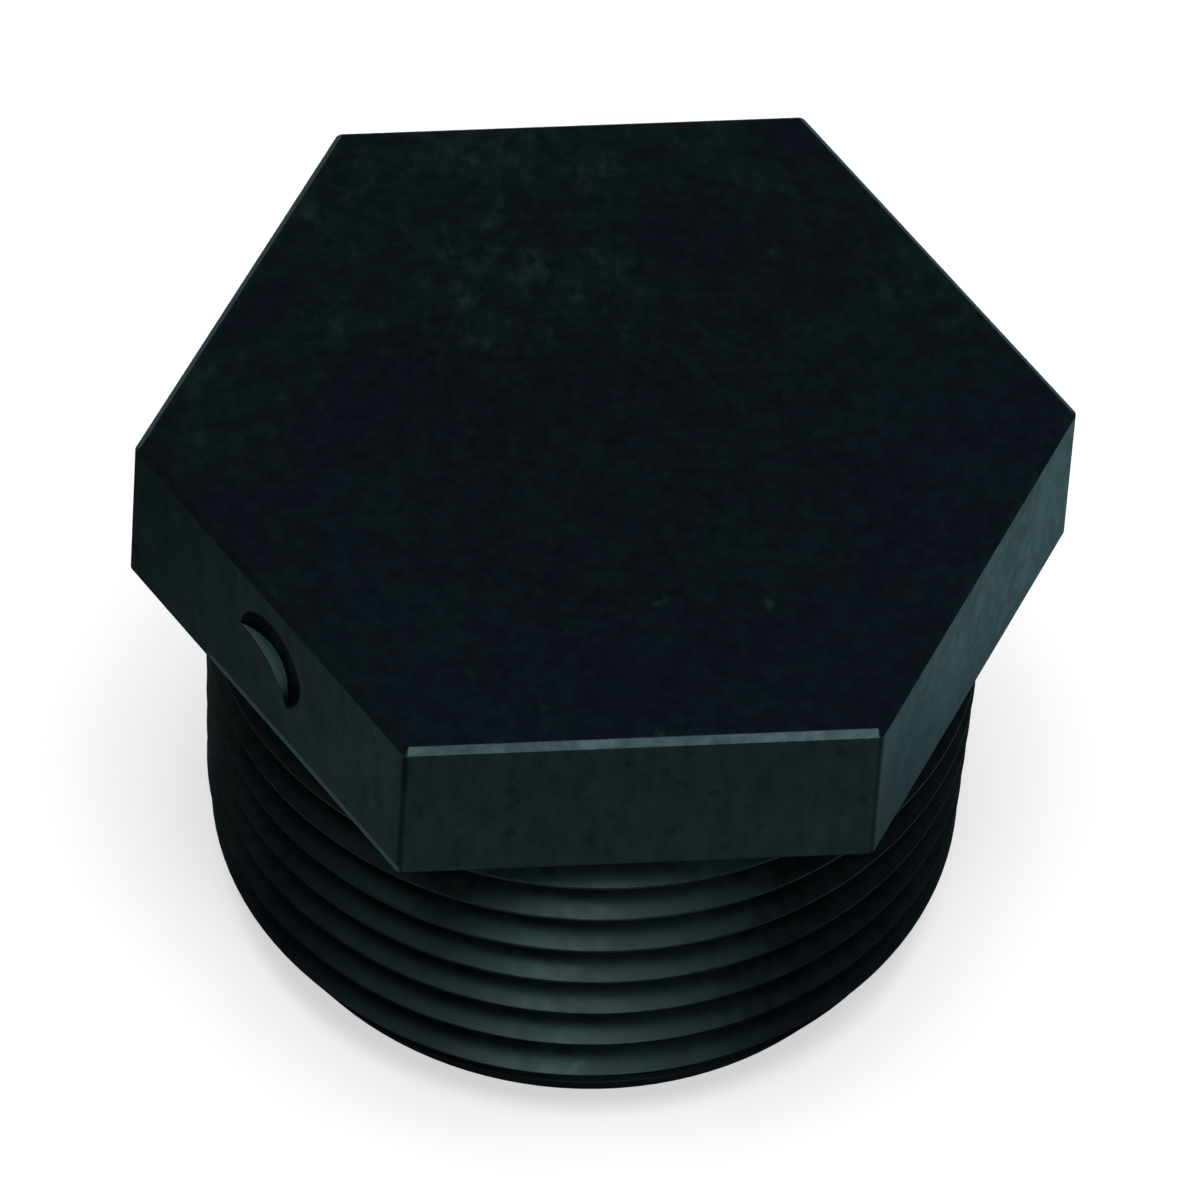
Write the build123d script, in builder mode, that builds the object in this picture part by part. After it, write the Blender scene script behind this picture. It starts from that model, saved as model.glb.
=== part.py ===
from build123d import *

import os
from math import atan, degrees, radians, tan

# Threaded pipe plug, moulded in one piece: a plain hexagon head on a tapered pipe thread,
# hollow from below. It stands on the open end of its shank, with Z up along the thread's axis.
# The hexagon has two flats square to Y and two corners on X. Sizes are in millimetres.

# Head
hex_across_flats = 1.375 * IN
head_height = 0.3125 * IN
upright_edge_radius = 0.35
top_edge_bevel = 0.3

# Shank and its thread: one inch tapered pipe thread, right hand
shank_length = 0.75 * IN
thread_pitch = IN / 11.5
tip_pitch_diameter = 30.826
taper_on_diameter = 1 / 16
flank_angle = 30.0
crest_land = 0.14
root_land = 0.14

# Where a crest stands: its height under the head, in one direction round the axis
crest_below_head = 2.6
crest_direction = -98.0

# Lead-in at the open end, and the neck under the head: both a little deeper than the thread
lead_in_length = 3.2
lead_in_below_root = 0.1
neck_length = 1.5
neck_below_root = 0.15

# Hollow core, open below
core_mouth_radius = 10.8
core_draft = 1.5
core_roof = 4.5
core_roof_bevel = 1.0

# Gate mark, in the flat on the left of the front one: a crescent. It sinks from its round rim
# as a shallow dish does, and ends at a steep wall along its inner curve.
marked_flat_direction = 210.0
mark_past_middle = 0.27
mark_below_top = 3.8
mark_radius = 2.3
mark_depth = 0.57
mark_direction = 60.0
mark_wall_radius = 3.2
mark_wall_before_centre = 0.2

# Sizes that follow from these
thread_depth = (thread_pitch - crest_land - root_land) / (2 * tan(radians(flank_angle)))
taper_on_radius = taper_on_diameter / 2
plug_height = shank_length + head_height


def crest_radius(height):
    """Radius of the cone through the thread's crests, at a height above the open end."""
    return (tip_pitch_diameter + thread_depth) / 2 + taper_on_radius * height


neck_radius = crest_radius(shank_length) - thread_depth - neck_below_root
tip_radius = crest_radius(0) - thread_depth - lead_in_below_root
core_roof_height = plug_height - core_roof
core_roof_radius = core_mouth_radius - core_roof_height * tan(radians(core_draft))

# The groove's helix starts on +X, below the open end, and runs out above the shank
groove_height = shank_length - crest_below_head + thread_pitch * (0.5 - crest_direction / 360)
helix_start = groove_height % thread_pitch - 2 * thread_pitch
helix_rise = shank_length + thread_pitch - helix_start
helix_cone = degrees(atan(taper_on_radius))
blank_overrun = 4 * thread_pitch

# Outside the crests the groove's flanks run on a little, and then its sides are parallel
flank_overrun = 0.05
groove_overrun = 0.6
groove_mouth = thread_pitch - crest_land + 2 * flank_overrun * tan(radians(flank_angle))

# The lead-in cone meets the crest cone at lead_in_length, and its outline runs on past it
lead_in_slope = (crest_radius(lead_in_length) - tip_radius) / lead_in_length
lead_in_end = 1.5 * lead_in_length

# The marked flat: a plane on it with X along it to the front, Y up and Z out of it
marked_flat_normal = Vector(1, 0, 0).rotate(Axis.Z, marked_flat_direction)
marked_flat = Plane(
    origin=marked_flat_normal * (hex_across_flats / 2) + Vector(0, 0, plug_height),
    x_dir=marked_flat_normal.rotate(Axis.Z, 90),
    z_dir=marked_flat_normal,
)

# The mark's plane: its X points to the middle of the rim, at the mark's direction counted from
# the flat's X towards the flat's Y. The dish is part of a ball whose centre is out of the flat.
mark_plane = Plane(
    origin=marked_flat.from_local_coords((mark_past_middle, -mark_below_top, 0)),
    x_dir=marked_flat.x_dir.rotate(Axis((0, 0, 0), marked_flat_normal), mark_direction),
    z_dir=marked_flat_normal,
)
mark_ball_radius = (mark_radius**2 + mark_depth**2) / (2 * mark_depth)

with BuildPart() as plug:
    # Thread: a cone through the crests, longer than the shank, with a helical groove cut in it
    with BuildSketch(Plane.XZ):
        with BuildLine():
            Polyline(
                (0, -blank_overrun),
                (crest_radius(-blank_overrun), -blank_overrun),
                (crest_radius(shank_length + blank_overrun), shank_length + blank_overrun),
                (0, shank_length + blank_overrun),
                close=True,
            )
        make_face()
    revolve(axis=Axis.Z)
    with BuildLine() as helix:
        Helix(
            pitch=thread_pitch,
            height=helix_rise,
            radius=crest_radius(helix_start),
            center=(0, 0, helix_start),
            cone_angle=helix_cone,
        )
    with BuildSketch(Plane(origin=helix.line @ 0, x_dir=(1, 0, 0), z_dir=helix.line % 0)):
        with BuildLine():
            Polyline(
                (-thread_depth, -root_land / 2),
                (flank_overrun, -groove_mouth / 2),
                (groove_overrun, -groove_mouth / 2),
                (groove_overrun, groove_mouth / 2),
                (flank_overrun, groove_mouth / 2),
                (-thread_depth, root_land / 2),
                close=True,
            )
        make_face()
    sweep(path=helix.line, is_frenet=True, mode=Mode.SUBTRACT)

    # Shank: the thread trimmed to the lead-in cone, the open end and the neck
    with BuildSketch(Plane.XZ):
        with BuildLine():
            Polyline(
                (0, 0),
                (tip_radius, 0),
                (tip_radius + lead_in_slope * lead_in_end, lead_in_end),
                (tip_radius + lead_in_slope * lead_in_end, shank_length - neck_length),
                (neck_radius, shank_length - neck_length),
                (neck_radius, shank_length),
                (0, shank_length),
                close=True,
            )
        make_face()
    revolve(axis=Axis.Z, mode=Mode.INTERSECT)

    # Hexagon head, its upright edges eased and its top edge bevelled
    with BuildSketch(Plane.XY.offset(shank_length)):
        RegularPolygon(hex_across_flats / 2, 6, major_radius=False)
        fillet(vertices(), upright_edge_radius)
    extrude(amount=head_height)
    chamfer(faces().sort_by(Axis.Z)[-1].edges(), top_edge_bevel)

    # Gate mark: the ball, less the round part behind the steep wall
    with BuildPart(mode=Mode.PRIVATE) as mark:
        with Locations((0, 0, mark_ball_radius - mark_depth)):
            Sphere(mark_ball_radius)
        with Locations((-mark_wall_before_centre - mark_wall_radius, 0, 0)):
            Cylinder(mark_wall_radius, 4 * mark_ball_radius, mode=Mode.SUBTRACT)
    add(mark.part.moved(mark_plane.location), mode=Mode.SUBTRACT)

    # Core, drafted towards its mouth
    with BuildSketch(Plane.XZ):
        with BuildLine():
            Polyline(
                (0, 0),
                (core_mouth_radius, 0),
                (core_roof_radius, core_roof_height),
                (0, core_roof_height),
                close=True,
            )
        make_face()
        chamfer(vertices().group_by(Axis.Y)[-1].sort_by(Axis.X)[-1], core_roof_bevel)
    revolve(axis=Axis.Z, mode=Mode.SUBTRACT)

os.makedirs("parts", exist_ok=True)
plug.part.label = "plug"
export_step(plug.part, "parts/plug.step")
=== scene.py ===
import math

import bpy
from mathutils import Matrix, Vector


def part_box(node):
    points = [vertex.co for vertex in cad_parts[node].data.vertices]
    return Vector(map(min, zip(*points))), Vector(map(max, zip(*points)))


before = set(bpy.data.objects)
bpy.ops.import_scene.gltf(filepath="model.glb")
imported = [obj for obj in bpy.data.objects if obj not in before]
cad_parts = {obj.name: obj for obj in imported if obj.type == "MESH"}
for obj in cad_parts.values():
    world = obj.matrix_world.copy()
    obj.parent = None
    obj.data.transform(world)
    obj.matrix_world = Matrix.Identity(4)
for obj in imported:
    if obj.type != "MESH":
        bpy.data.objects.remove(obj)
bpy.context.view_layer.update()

# Sizes are in metres, in the CAD's frame: Z up along the thread's axis, the open end at Z = 0.
MM = 0.001
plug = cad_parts["plug"]
plug_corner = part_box("plug")[1]
plug_top = plug_corner.z
flat_distance = plug_corner.y
head_height = 7.9375 * MM
head_underside = plug_top - head_height
top_bevel = 0.3 * MM
corner_count = 6
corner_radius = flat_distance / math.cos(math.pi / corner_count)

# The cone through the thread's crests: its radius at the open end, and its taper
crest_radius = 16.248 * MM
crest_taper = 1 / 32

# The flat with the gate mark, on the left of the front one: its direction from X towards Y
marked_flat = math.radians(210)

# The camera, worked out from the hexagon's corners and the shank's outline in the photograph
camera_azimuth = -8.237
camera_elevation = 49.749
camera_roll = 4.061
camera_distance = 731.8 * MM
camera_aim = Vector((-0.024, -1.705, 17.618)) * MM
lens = 512.0
sensor = 36.0

# The lamps, the floor and the world
lamp_distance = 0.8
white = (1, 1, 1)
cool_white = (0.74, 1.0, 1.0)
floor_half = 1.5
floor_gap = 0.01 * MM
floor_grey = (0.63, 0.63, 0.63, 1)
floor_glow = 0.62
floor_tint_left = (0.68, 1.0, 1.08, 1)
floor_tint_right = (0.54, 1.0, 1.1, 1)
world_glow = 0.03

# The plastic's colours
slate_dark = (0.0013, 0.0031, 0.0054, 1)
slate_light = (0.0034, 0.0063, 0.0101, 1)
green_dark = (0.0021, 0.0040, 0.0044, 1)
green_light = (0.0048, 0.0088, 0.0092, 1)
speck_colour = (0.0085, 0.018, 0.0175, 1)
# Painted shade for the corner lines, the pits and the gate mark's dish, then painted highlights on
# the gate mark's wall and on the marked flat's lower edge
painted_shade_colour = (0.001, 0.002, 0.0025, 1)
wall_highlight_colour = (0.06, 0.11, 0.11, 1)
edge_highlight_colour = (0.095, 0.15, 0.145, 1)
gloss_tint = (0.8, 1.0, 1.0, 1)

# The sizes of what is on the plastic
mottle_size = 0.7 * MM
cloud_size = 5 * MM
speck_size = 0.65 * MM
single_speck_size = 1.8 * MM
pit_spacing = 1.6 * MM
blotch_size = 0.8 * MM
grain_size = 0.35 * MM
bump_height = 0.02 * MM
edge_rounding = 0.06 * MM


def direction(azimuth, elevation):
    """Unit vector towards an azimuth, 0 in front and 90 on the right, and an elevation."""
    a, e = math.radians(azimuth), math.radians(elevation)
    return Vector((math.sin(a) * math.cos(e), -math.cos(a) * math.cos(e), math.sin(e)))


def make_camera():
    """The camera at the photograph's angle."""
    data = bpy.data.cameras.new("camera")
    data.lens = lens
    data.sensor_width = sensor
    data.clip_start = 0.01
    data.clip_end = 10.0
    camera = bpy.data.objects.new("camera", data)
    bpy.context.scene.collection.objects.link(camera)
    back = direction(camera_azimuth, camera_elevation)
    turn = (-back).to_track_quat("-Z", "Y").to_matrix().to_4x4()
    roll = Matrix.Rotation(math.radians(camera_roll), 4, "Z")
    camera.matrix_world = Matrix.Translation(camera_aim + back * camera_distance) @ turn @ roll
    bpy.context.scene.camera = camera


def soft_box(name, azimuth, elevation, width, height, radiance, for_gloss=True):
    """A rectangular lamp that faces the head and shows with this radiance. It lights the gloss
    only, or the colours only."""
    data = bpy.data.lights.new(name, "AREA")
    data.shape = "RECTANGLE"
    data.size = width
    data.size_y = height
    data.energy = radiance * math.pi * width * height
    data.color = cool_white if for_gloss else white
    lamp = bpy.data.objects.new(name, data)
    bpy.context.scene.collection.objects.link(lamp)
    away = direction(azimuth, elevation)
    lamp.location = Vector((0, 0, head_underside)) + away * lamp_distance
    lamp.rotation_mode = "QUATERNION"
    lamp.rotation_quaternion = (-away).to_track_quat("-Z", "Y")
    lamp.visible_glossy = for_gloss
    lamp.visible_diffuse = not for_gloss
    lamp.visible_camera = False


def make_lamps():
    """An even lamp overhead for the colours. The soft boxes are for the gloss: the front ones
    light the thread and the front bevel, and the low ones at the back light the crests there."""
    soft_box("overhead", 0, 82, 0.5, 0.5, 7.0, for_gloss=False)
    soft_box("above", -10, 82, 0.5, 0.5, 0.45)
    soft_box("front_low", 1, 41, 0.46, 0.24, 4.8)
    soft_box("front_high", -16, 65, 0.27, 0.23, 2.4)
    soft_box("left_high", -75, 62, 0.3, 0.3, 0.3)
    for azimuth in (-140, 180, 140):
        soft_box("back_low", azimuth, 5, 0.4, 0.12, 2.0)


class Shading:
    """A material's or world's node tree, with short calls that add linked nodes."""

    def __init__(self, owner):
        owner.use_nodes = True
        self.tree = owner.node_tree
        self.tree.nodes.clear()

    def add(self, kind, inputs=None, **settings):
        """Adds a node. An input is a plain value or another node's output."""
        node = self.tree.nodes.new("ShaderNode" + kind)
        for key, value in settings.items():
            setattr(node, key, value)
        for key, value in (inputs or {}).items():
            self.feed(node.inputs[key], value)
        return node

    def feed(self, socket, value):
        """Links another node's output to a socket, or sets the socket to a plain value."""
        if isinstance(value, bpy.types.NodeSocket):
            self.tree.links.new(value, socket)
        else:
            socket.default_value = value

    def math(self, operation, a, b=0.0, c=0.0):
        """One of the Math node's operations."""
        return self.add("Math", {0: a, 1: b, 2: c}, operation=operation).outputs[0]

    def chain(self, operation, values):
        """One operation carried through all the values."""
        result = values[0]
        for value in values[1:]:
            result = self.math(operation, result, value)
        return result

    def product(self, *values):
        """All the values multiplied."""
        return self.chain("MULTIPLY", values)

    def total(self, *values):
        """All the values added."""
        return self.chain("ADD", values)

    def most(self, *values):
        """The highest of the values."""
        return self.chain("MAXIMUM", values)

    def minus(self, a, b):
        """The first value less the second."""
        return self.math("SUBTRACT", a, b)

    def ramp(self, value, start, end, at_start=0.0, at_end=1.0):
        """Goes smoothly from one result, where the value is start, to another, where it is end."""
        inputs = {
            "Value": value,
            "From Min": start,
            "From Max": end,
            "To Min": at_start,
            "To Max": at_end,
        }
        return self.add("MapRange", inputs, interpolation_type="SMOOTHSTEP").outputs[0]

    def noise(self, place, size, detail=2.0, roughness=0.5):
        """Noise whose features are about this size, from 0 to 1."""
        inputs = {"Vector": place, "Scale": 1 / size, "Detail": detail, "Roughness": roughness}
        return self.add("TexNoise", inputs).outputs["Fac"]

    def blend(self, factor, a, b):
        """Goes from colour a to colour b as the factor goes from 0 to 1."""
        node = self.add("Mix", {"Factor": factor}, data_type="RGBA")
        first, second, result = node.inputs[6], node.inputs[7], node.outputs[2]
        self.feed(first, a)
        self.feed(second, b)
        return result

    def xyz(self, vector):
        """The vector's three parts."""
        return self.add("SeparateXYZ", {0: vector}).outputs[:]

    def scaled(self, vector, x, y, z):
        """The vector with its parts multiplied."""
        return self.add("Mapping", {"Vector": vector, "Scale": (x, y, z)}).outputs[0]

    def surface(self, shader):
        """The material's result."""
        self.add("OutputMaterial", {"Surface": shader.outputs[0]})


def out_of_marked_flat(nodes, x, y):
    """The part of a level vector along the marked flat's normal."""
    return nodes.total(
        nodes.product(x, math.cos(marked_flat)),
        nodes.product(y, math.sin(marked_flat)),
    )


def along_marked_flat(nodes, x, y):
    """The part of a level vector along the marked flat, to the front."""
    return nodes.total(
        nodes.product(x, -math.sin(marked_flat)),
        nodes.product(y, math.cos(marked_flat)),
    )


def floor_in_gloss(nodes):
    """The floor as the plug's gloss shows it: dim, dimmer on the side of the marked flat and
    close to the shank. A ring further out and a part at the back serve the views from there."""
    place = nodes.add("TexCoord").outputs["Object"]
    x, y = nodes.xyz(place)[:2]
    reach = nodes.add("VectorMath", {0: place}, operation="LENGTH").outputs["Value"]
    along = along_marked_flat(nodes, x, y)
    on_right = nodes.ramp(x, 12 * MM, 30 * MM)
    even = nodes.ramp(along, -33 * MM, 15 * MM, at_start=0.03, at_end=0.245)
    even = nodes.total(even, nodes.product(on_right, 0.03))
    # Painted shadow: the glow fades close to the shank
    close = nodes.ramp(reach, 22 * MM, 31 * MM, at_start=0.06)
    front = nodes.ramp(y, -41 * MM, -33 * MM, at_start=0.65, at_end=1.2)
    ring_inside = nodes.ramp(reach, 48 * MM, 76 * MM, at_end=0.26)
    ring_outside = nodes.ramp(reach, 180 * MM, 120 * MM)
    back = nodes.ramp(y, 14 * MM, 28 * MM, at_end=0.22)
    strength = nodes.most(
        nodes.product(even, close, front),
        nodes.product(ring_inside, ring_outside),
        back,
    )
    tint = nodes.blend(on_right, floor_tint_left, floor_tint_right)
    return nodes.add("Emission", {"Color": tint, "Strength": strength})


def make_floor():
    """A white floor that shows the plug's shadow, and looks dim in the plug's gloss."""
    mesh = bpy.data.meshes.new("floor")
    ends = ((-1, -1), (1, -1), (1, 1), (-1, 1))
    corners = [(floor_half * x, floor_half * y, -floor_gap) for x, y in ends]
    mesh.from_pydata(corners, [], [(0, 1, 2, 3)])
    floor = bpy.data.objects.new("floor", mesh)
    bpy.context.scene.collection.objects.link(floor)
    material = bpy.data.materials.new("floor")
    nodes = Shading(material)
    paint = nodes.add("BsdfDiffuse", {"Color": floor_grey})
    glow = nodes.add("Emission", {"Strength": floor_glow})
    lit = nodes.add("AddShader", {0: paint.outputs[0], 1: glow.outputs[0]})
    dim = floor_in_gloss(nodes)
    ray = nodes.add("LightPath").outputs["Is Camera Ray"]
    nodes.surface(nodes.add("MixShader", {0: ray, 1: dim.outputs[0], 2: lit.outputs[0]}))
    mesh.materials.append(material)


def make_world():
    """White behind the floor to the camera, and dim grey to everything else."""
    world = bpy.data.worlds.new("world")
    nodes = Shading(world)
    ray = nodes.add("LightPath").outputs["Is Camera Ray"]
    strength = nodes.ramp(ray, 0.0, 1.0, at_start=world_glow)
    background = nodes.add("Background", {"Color": (1, 1, 1, 1), "Strength": strength})
    nodes.add("OutputWorld", {"Surface": background.outputs[0]})
    bpy.context.scene.world = world


class Places:
    """Where a point of the plug is and which way it faces, and the two noises that its colour,
    gloss and relief share."""

    def __init__(self, nodes):
        self.place = nodes.add("TexCoord").outputs["Object"]
        self.x, self.y, self.z = nodes.xyz(self.place)
        level = nodes.total(nodes.product(self.x, self.x), nodes.product(self.y, self.y))
        self.radius = nodes.math("SQRT", level)
        self.out = out_of_marked_flat(nodes, self.x, self.y)
        self.along = along_marked_flat(nodes, self.x, self.y)
        facing_x, facing_y, facing_z = nodes.xyz(nodes.add("NewGeometry").outputs["Normal"])
        self.facing_out = out_of_marked_flat(nodes, facing_x, facing_y)
        self.on_top = nodes.ramp(facing_z, 0.9, 0.97)
        self.upright = nodes.ramp(nodes.math("ABSOLUTE", facing_z), 0.3, 0.1)
        self.flat = nodes.most(self.on_top, self.upright)
        self.on_head = nodes.ramp(self.z, head_underside - 0.1 * MM, head_underside)
        self.mottle = nodes.noise(self.place, mottle_size, detail=3.0, roughness=0.6)
        self.cloud = nodes.noise(self.place, cloud_size, detail=3.0)


def mottled_slate(nodes, at):
    """Slate, lighter away from the axis, greener at the back and on the left, finely mottled."""
    lighter = nodes.ramp(at.radius, 5 * MM, 18 * MM, at_end=0.45)
    tone = nodes.product(nodes.total(nodes.ramp(at.mottle, 0.3, 0.72), lighter), 0.7)
    slate = nodes.blend(tone, slate_dark, slate_light)
    green = nodes.blend(tone, green_dark, green_light)
    outer = nodes.most(nodes.ramp(at.y, 1 * MM, 12 * MM), nodes.ramp(at.x, -12 * MM, -17 * MM))
    return nodes.blend(nodes.product(outer, nodes.ramp(at.cloud, 0.3, 0.6)), slate, green)


def pale_specks(nodes, at):
    """1 on specks drawn out towards the back: clusters of them at the back and on the left of the
    top, and single ones elsewhere on it."""
    brushed = nodes.scaled(at.place, 1, 0.6, 1)
    grains = nodes.ramp(nodes.noise(brushed, speck_size), 0.53, 0.75)
    clusters = nodes.product(
        nodes.ramp(at.cloud, 0.42, 0.6),
        nodes.ramp(at.y, -2 * MM, 9 * MM, at_end=0.9),
        nodes.ramp(at.x, 10 * MM, -4 * MM, at_start=0.4),
    )
    single = nodes.ramp(nodes.noise(at.place, single_speck_size, detail=1.0), 0.66, 0.74)
    return nodes.product(grains, nodes.most(clusters, single), at.on_top)


def soft_pits(nodes, at):
    """1 in the pits of the head's flats, which are round but for the mottling; shade is painted in
    them.
    """
    voronoi = nodes.add("TexVoronoi", {"Vector": at.place, "Scale": 1 / pit_spacing})
    spots = nodes.total(voronoi.outputs["Distance"], nodes.product(at.mottle, 0.5))
    return nodes.product(nodes.ramp(spots, 0.45, 0.34), at.upright, at.on_head)


def painted_corner_shade(nodes, at):
    """1 along a thin line down each upright corner of the head, where shade is painted."""
    turn = nodes.math("ARCTAN2", at.y, at.x)
    aside = nodes.math("PINGPONG", turn, math.pi / corner_count)
    line = nodes.ramp(nodes.product(aside, corner_radius), 0.24 * MM, 0.04 * MM)
    on_corner = nodes.ramp(at.radius, corner_radius - 0.8 * MM, corner_radius - 0.5 * MM)
    below_bevel = nodes.ramp(at.z, plug_top - top_bevel, plug_top - 1.4 * top_bevel)
    return nodes.product(line, on_corner, below_bevel, at.on_head)


def gate_mark(nodes, at):
    """1 in the dish of the gate mark, and 1 on its steep wall."""
    # Just under the marked flat, away from its corners and from the head's top and underside
    in_mark = nodes.product(
        nodes.ramp(at.out, flat_distance - 0.01 * MM, flat_distance - 0.04 * MM),
        nodes.ramp(at.out, flat_distance - 1.0 * MM, flat_distance - 0.9 * MM),
        nodes.ramp(nodes.math("ABSOLUTE", at.along), 4.5 * MM, 4 * MM),
        nodes.ramp(at.z, head_underside + 0.5 * MM, head_underside + 1 * MM),
        nodes.ramp(at.z, plug_top - 0.5 * MM, plug_top - 1 * MM),
    )
    wall = nodes.product(in_mark, nodes.ramp(at.facing_out, 0.6, 0.3))
    dish = nodes.product(in_mark, nodes.minus(1.0, wall))
    return dish, wall


def painted_edge_highlight(nodes, at):
    """1 along the lower edge of the marked flat, where a highlight is painted."""
    from_edge = nodes.math("ABSOLUTE", nodes.minus(at.z, head_underside))
    return nodes.product(
        nodes.ramp(at.out, flat_distance - 0.1 * MM, flat_distance - 0.02 * MM),
        nodes.ramp(from_edge, 0.42 * MM, 0.26 * MM),
        nodes.ramp(at.along, -4.4 * MM, -3.6 * MM),
    )


def gloss_level(nodes, at, painted_shade):
    """The gloss: upright blotches on the flats, less in the painted shade of the corners, pits and
    gate dish, and on the shank less towards the bottom of the groove and close under the head, as
    painted shade."""
    drawn = nodes.scaled(at.place, 1, 1, 0.4)
    blotch = nodes.noise(drawn, blotch_size, detail=4.0, roughness=0.65)
    blotch = nodes.ramp(blotch, 0.25, 0.75, at_start=-0.17, at_end=0.17)
    blotch = nodes.product(blotch, nodes.ramp(at.flat, 0.0, 1.0, at_start=0.3))
    crest = nodes.math("MULTIPLY_ADD", at.z, crest_taper, crest_radius)
    depth = nodes.minus(crest, at.radius)
    # Painted shade: the gloss fades towards the bottom of the groove and close under the head
    groove_shade = nodes.ramp(depth, 0.1 * MM, 1.3 * MM, at_start=1.2, at_end=0.3)
    below_head = nodes.minus(head_underside, at.z)
    shaded = nodes.ramp(below_head, 4 * MM, 0.5 * MM, at_start=1.0, at_end=0.7)
    on_shank = nodes.product(groove_shade, shaded)
    return nodes.product(
        nodes.total(blotch, 0.5),
        nodes.minus(1.0, painted_shade),
        nodes.most(on_shank, at.on_head),
    )


def relief(nodes, at):
    """The normal: grain, strong on the flats and faint elsewhere, and slightly rounded edges."""
    grain = nodes.noise(at.place, grain_size, detail=3.0, roughness=0.6)
    height = nodes.total(grain, nodes.product(at.cloud, 2.5))
    strength = nodes.ramp(at.flat, 0.0, 1.0, at_start=0.02, at_end=0.4)
    rounded = nodes.add("Bevel", {"Radius": edge_rounding}, samples=6).outputs[0]
    inputs = {"Strength": strength, "Distance": bump_height, "Height": height, "Normal": rounded}
    return nodes.add("Bump", inputs).outputs[0]


def make_plastic():
    """Black moulded plastic: mottled, with pale specks and small pits. Shade is painted in the
    pits, down its corners and in the gate mark's dish, and highlights are painted on the gate
    mark's wall and along the lower edge of the marked flat."""
    material = bpy.data.materials.new("black_plastic")
    nodes = Shading(material)
    at = Places(nodes)
    dish, wall = gate_mark(nodes, at)
    # Painted shade: dark lines down the corners, in the pits and in the gate mark's dish, which
    # also dull the gloss there
    corner_shade = nodes.product(painted_corner_shade(nodes, at), 0.75)
    pit_shade = nodes.product(soft_pits(nodes, at), 0.36)
    painted_shade = nodes.most(corner_shade, pit_shade, nodes.product(dish, 0.95))
    # Painted highlight: the upper part of the gate mark's upright wall is paler
    wall_highlight = nodes.product(wall, nodes.ramp(at.z, plug_top - 5.3 * MM, plug_top - 4.4 * MM))
    colour = mottled_slate(nodes, at)
    colour = nodes.blend(pale_specks(nodes, at), colour, speck_colour)
    colour = nodes.blend(painted_shade, colour, painted_shade_colour)
    colour = nodes.blend(wall_highlight, colour, wall_highlight_colour)
    # Painted highlight along the lower edge of the marked flat
    colour = nodes.blend(painted_edge_highlight(nodes, at), colour, edge_highlight_colour)
    uneven = nodes.total(at.mottle, at.cloud)
    inputs = {
        "Base Color": colour,
        "Roughness": nodes.ramp(uneven, 0.7, 1.3, at_start=0.28, at_end=0.42),
        "Specular IOR Level": gloss_level(nodes, at, painted_shade),
        "Specular Tint": gloss_tint,
        "Normal": relief(nodes, at),
    }
    nodes.surface(nodes.add("BsdfPrincipled", inputs))
    return material


bpy.context.scene.view_settings.view_transform = "Standard"
make_camera()
make_world()
make_floor()
make_lamps()
plug.data.materials.clear()
plug.data.materials.append(make_plastic())
